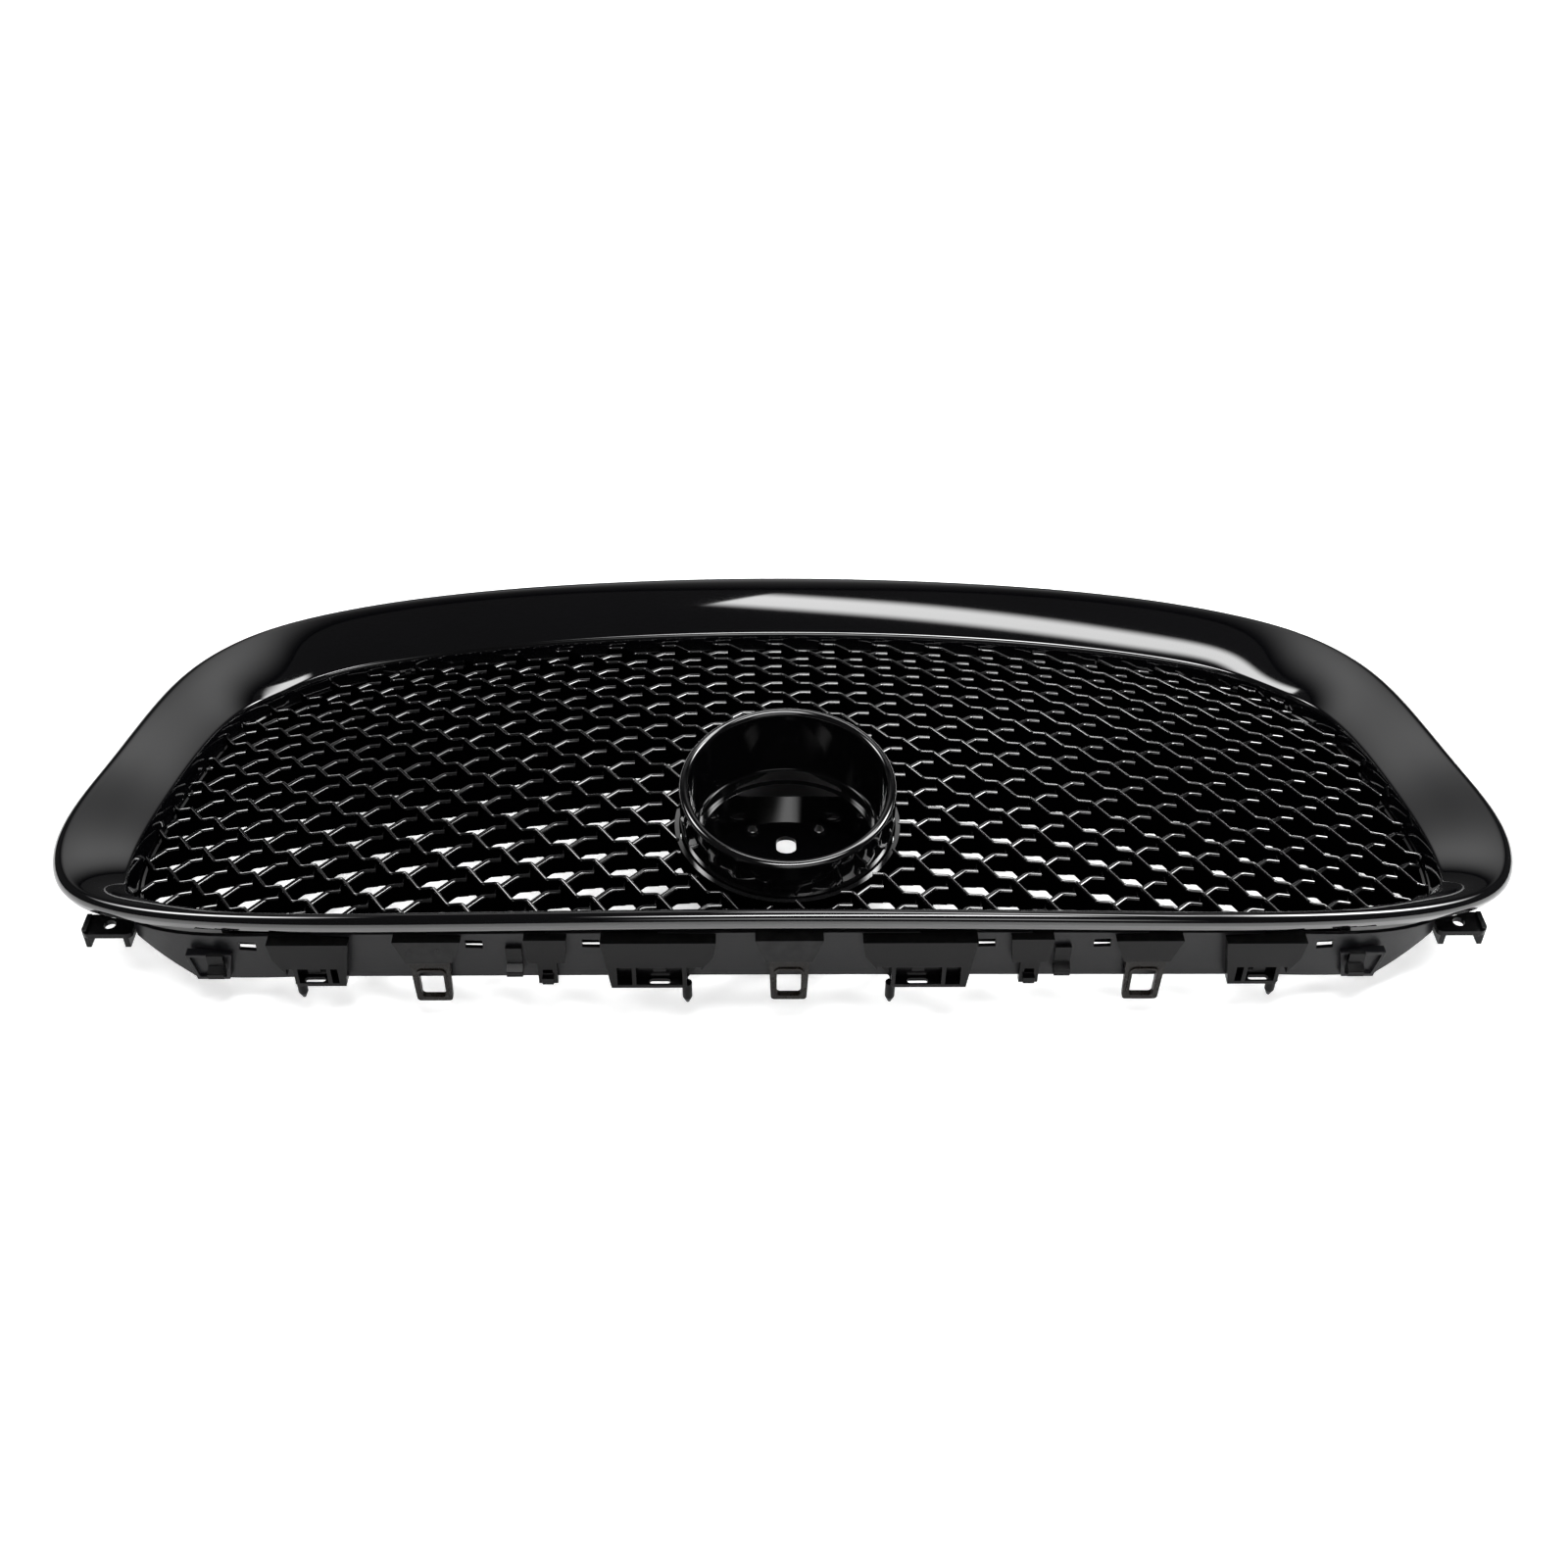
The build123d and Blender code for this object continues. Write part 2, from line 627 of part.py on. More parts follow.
def locating_pin(x, pocket_x, top, tip):
    """A ribbed locating pin with a tapered point, hanging from a pocket's sill."""
    length = top - tip
    with BuildPart() as pin:
        with BuildSketch(Plane(origin=(x, band_y(pocket_x) - 5, top - sag(pocket_x)), z_dir=(0, 0, -1))):
            Circle(PIN_RADIUS)
        extrude(amount=length - 4)
        with BuildSketch(Plane(pin.faces().sort_by(Axis.Z)[0])):
            Circle(PIN_RADIUS)
        extrude(amount=4, taper=22)
    return pin.part


def end_pocket(x):
    """The outermost trapezoid plate on the carrier."""
    with BuildPart() as plate:
        with BuildSketch(on_band(x)):
            Polygon((-12, -1), (12, -1), (8.5, -19), (-8.5, -19), align=None)
        extrude(amount=3.4)
        with BuildSketch(on_band(x, 3.4)):
            Polygon((-12, -1), (12, -1), (8.5, -19), (-8.5, -19), align=None)
            Polygon((-10, -2.8), (10, -2.8), (7, -17), (-7, -17), align=None, mode=Mode.SUBTRACT)
        extrude(amount=2.0)
        add(lower_carrier.part, mode=Mode.SUBTRACT)
    return plate.part.solids().sort_by(SortBy.VOLUME)[-1]


def end_bracket(side):
    """The ear past the end of the carrier, with a fixing hole along the badge axis."""
    with BuildPart() as ear:
        with BuildSketch(Plane.XY.offset(-18)):
            with Locations((side * EAR_X, EAR_Y)):
                RectangleRounded(26, 15, radius=3)
                Circle(EAR_HOLE, mode=Mode.SUBTRACT)
        extrude(amount=3)
        with BuildSketch(Plane.XY.offset(-26)):
            with Locations((side * (EAR_X + 11.7), EAR_Y)):
                Rectangle(2.6, 12)
        extrude(amount=13)
        with BuildSketch(Plane.XY.offset(-26)):
            with Locations((side * (EAR_X - 9), EAR_Y)):
                Rectangle(3, 12)
        extrude(amount=9)
        add(lower_carrier.part, mode=Mode.SUBTRACT)
    return ear.part.solids().sort_by(SortBy.VOLUME)[-1]


PIECES = {
    "surround": surround.part,
    "mesh_insert": mesh_insert.part,
    "badge_bezel": badge_bezel.part,
    "badge_cup": badge_cup.part,
    "cup_screws": cup_screws.part,
    "lower_carrier": lower_carrier.part,
    "tab_mount_centre": tab_mount(0),
    "snap_tab_centre": snap_tab(0),
}
for side, word in ((-1, "left"), (1, "right")):
    PIECES[f"tab_mount_{word}"] = tab_mount(side * TAB_X)
    PIECES[f"snap_tab_{word}"] = snap_tab(side * TAB_X)
    PIECES[f"inner_pocket_{word}"] = clip_pocket(side * INNER_POCKET_X, INNER_POCKET, -side)
    PIECES[f"outer_pocket_{word}"] = clip_pocket(side * OUTER_POCKET_X, OUTER_POCKET, side)
    PIECES[f"stub_bracket_{word}"] = stub_bracket(side * STUB_X)
    PIECES[f"end_pocket_{word}"] = end_pocket(side * END_POCKET_X)
    PIECES[f"snap_hook_inner_{word}"] = snap_hook(side * HOOK_X[0], 1.25, -16.5)
    PIECES[f"snap_hook_outer_{word}"] = snap_hook(side * HOOK_X[1], 5.5, -12.5)
    for place, pin_x, pocket_x, (_, _, sill_z), tip in (
        ("inner", PIN_X[0], INNER_POCKET_X, INNER_POCKET, PIN_TIP),
        ("outer", PIN_X[1], OUTER_POCKET_X, OUTER_POCKET, PIN_TIP + PIN_STEP),
    ):
        PIECES[f"pin_{place}_{word}"] = locating_pin(side * pin_x, side * pocket_x, sill_z, tip)
    PIECES[f"end_bracket_{word}"] = end_bracket(side)

os.makedirs("parts", exist_ok=True)
for name, piece in PIECES.items():
    piece.label = name
    export_step(piece, f"parts/{name}.step")
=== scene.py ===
"""Looks for the front grille: smooth surround, strand honeycomb, badge cup, clip carrier and studio."""
import math

import bmesh
import bpy
import numpy as np
from mathutils import Matrix, Vector


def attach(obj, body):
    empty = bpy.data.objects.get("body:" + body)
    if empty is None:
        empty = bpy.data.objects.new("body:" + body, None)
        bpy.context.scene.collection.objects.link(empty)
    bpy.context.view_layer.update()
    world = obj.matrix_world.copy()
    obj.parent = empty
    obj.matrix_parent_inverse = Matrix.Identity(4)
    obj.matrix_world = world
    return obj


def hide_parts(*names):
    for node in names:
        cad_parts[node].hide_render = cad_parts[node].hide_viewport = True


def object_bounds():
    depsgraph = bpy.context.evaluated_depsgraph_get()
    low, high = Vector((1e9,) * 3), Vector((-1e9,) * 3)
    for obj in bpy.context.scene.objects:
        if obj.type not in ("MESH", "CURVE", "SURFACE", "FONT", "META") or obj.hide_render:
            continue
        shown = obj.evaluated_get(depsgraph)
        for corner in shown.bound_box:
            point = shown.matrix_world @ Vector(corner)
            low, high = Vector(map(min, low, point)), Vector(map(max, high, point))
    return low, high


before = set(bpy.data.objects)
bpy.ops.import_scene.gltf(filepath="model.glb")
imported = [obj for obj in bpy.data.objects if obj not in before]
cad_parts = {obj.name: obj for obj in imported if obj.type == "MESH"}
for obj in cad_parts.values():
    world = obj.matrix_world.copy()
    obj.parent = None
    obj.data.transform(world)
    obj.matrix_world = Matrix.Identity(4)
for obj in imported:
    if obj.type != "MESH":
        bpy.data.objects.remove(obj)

for name in ("Cube", "Light", "Camera"):
    if name in bpy.data.objects:
        bpy.data.objects.remove(bpy.data.objects[name])
cad_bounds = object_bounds()
MM = 0.001
ROOT = "grille"


# ---------------------------------------------------------------- shape of the grille, millimetres
def crown(x, y):
    """Front face of the honeycomb: a bow across and a bow up the car."""
    return 15.0 - (1732.0 - np.sqrt(1732.0**2 - x**2)) - (647.0 - np.sqrt(647.0**2 - y**2))


# rim x, rim y, opening x, opening y, crest height, step width, step height, nose radius
RING = np.array((
    (0.0, -97.5, 0.0, -74.0, 28.0, 14.0, 22.0, 4.4),
    (95.0, -95.8, 95.0, -72.4, 28.0, 14.0, 22.0, 4.4),
    (190.0, -90.0, 188.0, -66.5, 28.0, 14.0, 22.0, 4.4),
    (295.0, -75.0, 287.0, -54.0, 28.0, 13.0, 22.0, 4.4),
    (352.0, -57.5, 333.0, -40.0, 28.5, 9.0, 19.5, 4.8),
    (386.0, -35.0, 351.5, -24.0, 29.5, 4.0, 12.0, 5.6),
    (402.0, 6.0, 358.0, 6.0, 30.0, 2.5, 8.0, 6.5),
    (393.5, 70.0, 351.0, 66.0, 30.0, 2.5, 7.0, 6.5),
    (384.0, 136.0, 338.0, 138.0, 31.0, 2.5, 6.0, 6.5),
    (368.0, 195.0, 316.0, 172.0, 34.5, 2.5, 5.0, 6.5),
    (341.0, 228.0, 293.0, 191.0, 37.5, 2.5, 5.0, 6.5),
    (290.0, 248.5, 258.0, 203.0, 39.5, 2.5, 5.0, 6.5),
    (225.0, 257.5, 205.0, 209.0, 39.8, 2.5, 5.0, 6.5),
    (115.0, 261.5, 108.0, 212.5, 38.6, 2.5, 5.0, 6.5),
    (0.0, 262.5, 0.0, 213.0, 38.0, 2.5, 5.0, 6.5),
))


def closed_ring(count):
    """The ring's eight columns at count places, by a closed cubic spline through both halves."""
    mirror = np.array((-1.0, 1.0, -1.0, 1.0, 1.0, 1.0, 1.0, 1.0))
    knots = np.vstack((RING, RING[-2:0:-1] * mirror))
    n = len(knots)
    gap = np.linalg.norm(np.roll(knots[:, :2], -1, axis=0) - knots[:, :2], axis=1)
    system = np.zeros((n, n))
    right = np.zeros((n, 8))
    for i in range(n):
        before, after = gap[i - 1], gap[i]
        system[i, i - 1] = before
        system[i, i] = 2 * (before + after)
        system[i, (i + 1) % n] = after
        right[i] = 6 * ((knots[(i + 1) % n] - knots[i]) / after - (knots[i] - knots[i - 1]) / before)
    bend = np.linalg.solve(system, right)
    start = np.concatenate(((0.0,), np.cumsum(gap)))
    rows = []
    for place in np.linspace(0.0, start[-1], count, endpoint=False):
        i = min(int(np.searchsorted(start, place, side="right")) - 1, n - 1)
        j = (i + 1) % n
        a = start[i + 1] - place
        b = place - start[i]
        h = gap[i]
        rows.append(
            bend[i] * a**3 / (6 * h) + bend[j] * b**3 / (6 * h)
            + (knots[i] / h - bend[i] * h / 6) * a + (knots[j] / h - bend[j] * h / 6) * b
        )
    return np.array(rows)


# ---------------------------------------------------------------- materials
CLOUD_SCALE, SPECK_SCALE, PEEL_SCALE = 14.0, 160.0, 900.0
UNEVEN = 0.15


def plastic(name, colour, roughness, coat, bump, edge, shine=0.5, metal=0.0):
    """Moulded plastic: uneven colour and gloss, fine orange peel and paler worn edges."""
    material = bpy.data.materials.new(name)
    material.use_nodes = True
    nodes = material.node_tree.nodes
    links = material.node_tree.links
    shader = nodes["Principled BSDF"]
    place = nodes.new("ShaderNodeTexCoord")

    cloud = nodes.new("ShaderNodeTexNoise")
    cloud.inputs["Scale"].default_value = CLOUD_SCALE
    cloud.inputs["Detail"].default_value = 5.0
    links.new(place.outputs["Object"], cloud.inputs["Vector"])
    tone = nodes.new("ShaderNodeValToRGB")
    tone.color_ramp.elements[0].position = 0.3
    tone.color_ramp.elements[0].color = (*[c * (1 - UNEVEN) for c in colour], 1)
    tone.color_ramp.elements[1].position = 0.75
    tone.color_ramp.elements[1].color = (*[c * (1 + UNEVEN) for c in colour], 1)
    links.new(cloud.outputs["Fac"], tone.inputs["Fac"])

    worn = nodes.new("ShaderNodeNewGeometry")
    pick = nodes.new("ShaderNodeMapRange")
    pick.inputs["From Min"].default_value = 0.54
    pick.inputs["From Max"].default_value = 0.66
    links.new(worn.outputs["Pointiness"], pick.inputs["Value"])
    speck = nodes.new("ShaderNodeTexNoise")
    speck.inputs["Scale"].default_value = SPECK_SCALE
    speck.inputs["Detail"].default_value = 8.0
    links.new(place.outputs["Object"], speck.inputs["Vector"])
    wear = nodes.new("ShaderNodeMath")
    wear.operation = "MULTIPLY"
    links.new(pick.outputs["Result"], wear.inputs[0])
    links.new(speck.outputs["Fac"], wear.inputs[1])
    mix = nodes.new("ShaderNodeMix")
    mix.data_type = "RGBA"
    links.new(wear.outputs["Value"], mix.inputs[0])
    links.new(tone.outputs["Color"], mix.inputs[6])
    mix.inputs[7].default_value = (*[c + edge for c in colour], 1)
    links.new(mix.outputs[2], shader.inputs["Base Color"])

    gloss = nodes.new("ShaderNodeMapRange")
    gloss.inputs["To Min"].default_value = roughness * 0.8
    gloss.inputs["To Max"].default_value = roughness * 1.3 + 0.01
    links.new(speck.outputs["Fac"], gloss.inputs["Value"])
    links.new(gloss.outputs["Result"], shader.inputs["Roughness"])

    peel = nodes.new("ShaderNodeTexNoise")
    peel.inputs["Scale"].default_value = PEEL_SCALE
    peel.inputs["Detail"].default_value = 2.0
    links.new(place.outputs["Object"], peel.inputs["Vector"])
    relief = nodes.new("ShaderNodeBump")
    relief.inputs["Strength"].default_value = bump
    relief.inputs["Distance"].default_value = 0.0002
    links.new(peel.outputs["Fac"], relief.inputs["Height"])
    links.new(relief.outputs["Normal"], shader.inputs["Normal"])
    shader.inputs["Coat Weight"].default_value = coat
    shader.inputs["Coat Roughness"].default_value = roughness * 0.4
    shader.inputs["IOR"].default_value = 1.5
    shader.inputs["Specular IOR Level"].default_value = shine
    shader.inputs["Metallic"].default_value = metal
    return material


GLOSS = plastic("piano_black", (0.001, 0.001, 0.0013), 0.05, coat=0.6, bump=0.004, edge=0.01)
STRAND = plastic("mesh_black", (0.001, 0.001, 0.0012), 0.08, coat=1.0, bump=0.02, edge=0.01, shine=0.9)
# Painted shade: a darker, duller copy of the strand black, put on the honeycomb's tall walls and strand tails
# where shade falls.
SHADED_WALL = plastic("mesh_wall_painted_shade", (0.0003, 0.0003, 0.0004), 0.3, coat=0.0, bump=0.05, edge=0.0, shine=0.0)
CUP = plastic("cup_black", (0.001, 0.001, 0.0012), 0.06, coat=0.5, bump=0.004, edge=0.01)
CARRIER = plastic("carrier_grey", (0.005, 0.005, 0.006), 0.34, coat=0.0, bump=0.2, edge=0.02, shine=0.25)
BRACKET = plastic("bracket_black", (0.0014, 0.0014, 0.0016), 0.2, coat=0.0, bump=0.08, edge=0.015, shine=0.14)
TAB = plastic("tab_brown_black", (0.005, 0.0036, 0.0024), 0.26, coat=0.0, bump=0.12, edge=0.02, shine=0.2)
STEEL = plastic("screw_steel", (0.35, 0.35, 0.36), 0.32, coat=0.0, bump=0.1, edge=0.2, metal=1.0)


# ---------------------------------------------------------------- mesh building
def sharpen(mesh, degrees):
    """Marks edges sharper than this many degrees, so smooth shading stops there."""
    work = bmesh.new()
    work.from_mesh(mesh)
    bmesh.ops.recalc_face_normals(work, faces=work.faces)
    limit = math.radians(degrees)
    for edge in work.edges:
        edge.smooth = len(edge.link_faces) == 2 and edge.calc_face_angle(0.0) < limit
    work.to_mesh(mesh)
    work.free()


def piece(name, points, faces, material, node, slot, sharp):
    """A mesh from millimetre points, fixed to the grille and standing for one CAD node."""
    mesh = bpy.data.meshes.new(name)
    mesh.from_pydata([tuple(p) for p in np.asarray(points) * MM], [], faces)
    mesh.materials.append(material)
    mesh.polygons.foreach_set("use_smooth", [True] * len(mesh.polygons))
    sharpen(mesh, sharp)
    thing = bpy.data.objects.new(name, mesh)
    bpy.context.scene.collection.objects.link(thing)
    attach(thing, ROOT)
    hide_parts(node)
    return thing


def grid_faces(rows, columns, offset=0):
    """Quads between rows of points, closed both ways."""
    faces = []
    for i in range(rows):
        here = offset + i * columns
        after = offset + (i + 1) % rows * columns
        for k in range(columns):
            m = (k + 1) % columns
            faces.append((here + k, after + k, after + m, here + m))
    return faces


# ---------------------------------------------------------------- surround
SKIN, LIP_IN, LIP_DROP, FOOT = 3.0, 2.0, 5.0, 12.0
SWELL, STEP_ROUND = 9.0, 2.0
SURROUND_ROWS = 420


def arc(centre, radius, first, last, count):
    """Points on an arc, angles in degrees."""
    angles = np.radians(np.linspace(first, last, count))
    return np.stack((centre[0] + radius * np.cos(angles), centre[1] + radius * np.sin(angles)), axis=1)


def bezier(a, b, c, d, count):
    """Points on a cubic curve from a to d."""
    t = np.linspace(0, 1, count)[:, None]
    a, b, c, d = (np.asarray(p, float) for p in (a, b, c, d))
    return a * (1 - t) ** 3 + 3 * b * t * (1 - t) ** 2 + 3 * c * t**2 * (1 - t) + d * t**3


def surround_section(width, top, step_in, step_up, nose):
    """One section of the surround: outward and up from the honeycomb edge."""
    lip = top - nose - LIP_DROP
    centre = np.array((width - nose, top - nose))
    rise = math.degrees(math.atan2(top - step_up, width - step_in - nose))
    leave = max(rise - SWELL, 1.5)
    tangent = math.radians(90 + leave)
    begin = centre + nose * np.array((math.cos(tangent), math.sin(tangent)))
    step = np.array((step_in, step_up))
    wall = step / np.linalg.norm(step)
    face_angle = math.radians(rise + SWELL)
    face = np.array((math.cos(face_angle), math.sin(face_angle)))
    round_in = step - wall * STEP_ROUND
    round_out = step + face * STEP_ROUND
    reach = np.linalg.norm(begin - round_out) / 3
    end = np.array((math.cos(math.radians(leave)), math.sin(math.radians(leave))))
    return np.vstack((
        np.array(((0.0, -FOOT), (0.0, 0.0))),
        bezier(round_in, step, step, round_out, 7),
        bezier(round_out, round_out + face * reach, begin - end * reach, begin, 22)[1:],
        arc(centre, nose, 90 + leave, -6, 16)[1:],
        np.array((
            (width - LIP_IN, lip),
            (width - LIP_IN - SKIN, lip),
            (width - nose, top - SKIN - 0.3 * nose),
            (step_in + 0.9 * SKIN, step_up - 0.5 * SKIN),
            (SKIN, -0.5 * SKIN),
            (SKIN, -FOOT),
        )),
    ))


def build_surround():
    """The surround as one closed shell; returns the ring's rows."""
    rows = closed_ring(SURROUND_ROWS)
    points = []
    for rim_x, rim_y, open_x, open_y, crest, step_in, step_up, nose in rows:
        span = math.hypot(rim_x - open_x, rim_y - open_y)
        out = ((rim_x - open_x) / span, (rim_y - open_y) / span)
        foot = crown(open_x, open_y)
        top = crown(rim_x, rim_y) + crest - foot
        for along, up in surround_section(span, top, step_in, step_up, nose):
            points.append((open_x + out[0] * along, open_y + out[1] * along, foot + up))
    faces = grid_faces(len(rows), len(points) // len(rows))
    piece("surround_shell", points, faces, GLOSS, "surround", "gloss_shell", 28.0)
    return rows


ring_rows = build_surround()


# ---------------------------------------------------------------- honeycomb
PITCH_X, PITCH_Y, FLAT = 17.0, 26.32, 7.8
CELL_X, CELL_Y = -4.3, 11.7
DEPTH = 16.0
ROWS, COLUMNS = range(-18, 20), range(-24, 25)
NEAR_Y, FAR_Y = -110.0, 235.0
FRONT_STOUT, FRONT_SOFT = 0.78, 1.5
# rising strands: how far behind the front, how far their ledge stops short, width and corner
LOW, LEDGE_STEP, LOW_STOUT, LOW_SOFT = 3.9, 4.9, 1.4, 1.6
HOOK_STOUT = 0.4
TAIL, TAIL_DROP = 3.4, 8.58
CLIP_INSET, CUP_GAP = 1.1, 1.6
BORDER_OUT, BORDER_IN, BORDER_DROP = 0.9, 2.4, 6.0
CUP_HOLE, CUP_RING, CUP_RING_DROP, CUP_RING_TURNS = 58.7, 2.4, 1.2, 160
# faces taller than this get the painted-shade wall material
SHADED_FACE_HEIGHT = 4.0
opening = ring_rows[:, 2:4]


def inset_outline(amount):
    """The opening's outline moved inward."""
    ahead = np.roll(opening, -1, axis=0) - np.roll(opening, 1, axis=0)
    ahead /= np.linalg.norm(ahead, axis=1)[:, None]
    inward = np.stack((-ahead[:, 1], ahead[:, 0]), axis=1)
    return opening + inward * amount


def inside(points, outline):
    """Which points lie in a closed outline."""
    x, y = points[:, 0][:, None], points[:, 1][:, None]
    ax, ay = outline[:, 0][None], outline[:, 1][None]
    bx, by = np.roll(outline[:, 0], -1)[None], np.roll(outline[:, 1], -1)[None]
    crosses = (ay > y) != (by > y)
    slope = np.where(np.abs(by - ay) < 1e-9, 1e-9, by - ay)
    return (np.sum(crosses & (x < (bx - ax) * (y - ay) / slope + ax), axis=1) % 2) == 1


clip_outline = inset_outline(CLIP_INSET)


def softened(path, radius, count):
    """A path with its corners cut to short arcs."""
    path = np.asarray(path, float)
    out = [path[0]]
    for before, corner, after in zip(path, path[1:], path[2:]):
        back = (before - corner) / np.linalg.norm(before - corner)
        on = (after - corner) / np.linalg.norm(after - corner)
        for t in np.linspace(0, 1, count):
            a = corner + back * radius * (1 - t)
            b = corner + on * radius * t
            out.append(a * (1 - t) + b * t)
    out.append(path[-1])
    return np.array(out)


def kept_runs(path):
    """Stretches of a path inside the opening and outside the cup, ends trimmed to the border."""
    path = np.asarray(path, float)
    pieces = []
    for a, b in zip(path, path[1:]):
        steps = max(int(np.linalg.norm(b - a) / 0.5), 1)
        t = np.linspace(0, 1, steps, endpoint=False)[:, None]
        pieces.append(np.hstack((a + (b - a) * t, np.r_[1.0, np.zeros(steps - 1)][:, None])))
    pieces.append(np.array([[*path[-1], 1.0]]))
    fine = np.vstack(pieces)
    good = inside(fine[:, :2], clip_outline) & (np.hypot(fine[:, 0], fine[:, 1]) > CUP_HOLE + CUP_GAP)
    runs, current = [], []
    for point, keep in zip(fine, good):
        if keep:
            current.append(point)
        elif current:
            runs.append(current)
            current = []
    if current:
        runs.append(current)
    out = []
    for run in runs:
        kept = [p[:2] for i, p in enumerate(run) if p[2] or i in (0, len(run) - 1)]
        if len(kept) > 1 and np.linalg.norm(kept[-1] - kept[0]) > 1.5:
            out.append(np.array(kept))
    return out


# across the strand and down from its crest: a rounded ridge on a tall wall
RIDGE = (
    (-1.0, -DEPTH), (-1.2, -1.1), (-0.95, -0.42), (-0.5, -0.08), (0.0, 0.0),
    (0.5, -0.08), (0.95, -0.42), (1.2, -1.1), (1.0, -DEPTH),
)


def sweep_strand(path, drop, store, stout=1.0):
    """Adds one strand along a plan path; drop is how far its crest lies behind the front."""
    points, faces = store
    ahead = np.diff(path, axis=0)
    ahead /= np.linalg.norm(ahead, axis=1)[:, None]
    first = np.vstack((ahead[:1], ahead))
    last = np.vstack((ahead, ahead[-1:]))
    normals = np.stack((-(first + last)[:, 1], (first + last)[:, 0]), axis=1)
    length = np.linalg.norm(normals, axis=1)
    normals /= length[:, None]
    mitre = np.clip(2.0 / length, 1.0, 1.6)
    base = len(points)
    across = len(RIDGE)
    for spot, normal, wide in zip(path, normals, mitre):
        top = crown(spot[0], spot[1])
        for side, down in RIDGE:
            place = spot + normal * side * wide * stout
            depth = -DEPTH if down <= -DEPTH else down - drop
            points.append((place[0], place[1], top + depth))
    for i in range(len(path) - 1):
        here, after = base + i * across, base + (i + 1) * across
        for k in range(across):
            m = (k + 1) % across
            faces.append((here + k, here + m, after + m, after + k))
    faces.append(tuple(base + k for k in range(across)))
    faces.append(tuple(base + (len(path) - 1) * across + k for k in reversed(range(across))))


def rising_strand(x, y, store):
    """One lower strand with its ledge, tail and hook; returns the numbers of the tail's faces, which get
    painted shade.
    """
    faces = store[1]
    flat, reach = FLAT / 2, PITCH_X - FLAT / 2
    ledge = y + PITCH_Y / 2 - LEDGE_STEP
    end = x + reach + FLAT
    rising = [(x + flat + 0.5, y + 0.2), (x + reach, ledge), (end - 0.5, ledge)]
    for run in kept_runs(softened(rising, LOW_SOFT, 4)):
        sweep_strand(run, LOW, store, LOW_STOUT)
    before = len(faces)
    for run in kept_runs([(end - 0.9, ledge), (end + TAIL, ledge)]):
        sweep_strand(run, TAIL_DROP, store)
    tail = range(before, len(faces))
    for run in kept_runs([(end - 1.2, ledge + 0.2), (end - 1.0, ledge + LEDGE_STEP - 0.9)]):
        sweep_strand(run, LOW, store, HOOK_STOUT)
    return tail


def add_border(store):
    """The flat band round the honeycomb's edge."""
    points, faces = store
    base = len(points)
    outer, inner = inset_outline(BORDER_OUT), inset_outline(BORDER_IN)
    for (outer_x, outer_y), (inner_x, inner_y) in zip(outer, inner):
        top = crown(inner_x, inner_y)
        points += [(outer_x, outer_y, top - DEPTH), (outer_x, outer_y, top - BORDER_DROP)]
        points += [(inner_x, inner_y, top - BORDER_DROP), (inner_x, inner_y, top - DEPTH)]
    faces += grid_faces(len(outer), 4, base)


def add_cup_ring(store):
    """The round band that the badge bezel passes through."""
    points, faces = store
    base = len(points)
    inner, outer = CUP_HOLE, CUP_HOLE + CUP_RING
    for i in range(CUP_RING_TURNS):
        angle = 2 * math.pi * i / CUP_RING_TURNS
        c, s = math.cos(angle), math.sin(angle)
        for r, drop in ((inner, DEPTH), (inner, CUP_RING_DROP), (outer, CUP_RING_DROP), (outer, DEPTH)):
            points.append((r * c, r * s, crown(r * c, r * s) - drop))
    faces += grid_faces(CUP_RING_TURNS, 4, base)


def build_honeycomb():
    """All strands, the border and the cup's ring; tall faces and tails get the painted-shade wall material, a
    darker copy of the strand black.
    """
    store = ([], [])
    painted_shade_faces = []
    for row in ROWS:
        path = []
        for column in COLUMNS:
            x = CELL_X + column * PITCH_X
            y = CELL_Y + (row + 0.5) * PITCH_Y - column * PITCH_Y / 2
            path += [(x - FLAT / 2, y), (x + FLAT / 2, y)]
            if NEAR_Y < y < FAR_Y:
                painted_shade_faces += rising_strand(x, y, store)
        for run in kept_runs(softened(path, FRONT_SOFT, 4)):
            sweep_strand(run, 0.0, store, FRONT_STOUT)
    add_border(store)
    add_cup_ring(store)
    thing = piece("honeycomb", *store, STRAND, "mesh_insert", "gloss_mesh", 50.0)
    mesh = thing.data
    mesh.materials.append(SHADED_WALL)
    # Painted shade: faces taller than the threshold and the strand tails take the darker, duller wall
    # material.
    height = np.array([vertex.co.z for vertex in mesh.vertices])
    for face in mesh.polygons:
        if np.ptp(height[list(face.vertices)]) > SHADED_FACE_HEIGHT * MM:
            face.material_index = 1
    for index in painted_shade_faces:
        mesh.polygons[index].material_index = 1


build_honeycomb()


# ---------------------------------------------------------------- badge bezel
RIM_TOP, RIM_LEAN, RIM_SINK = 42.0, 0.11, 1.6
RIM_CENTRE, RIM_RADIUS = (55.65, 39.35), 2.65
SEAT, SEAT_TOP, CONE = 48.6, 7.5, 49.8
CONE_TOP, CONE_HEIGHT = 53.0, 31.85
BEZEL_TURNS = 200


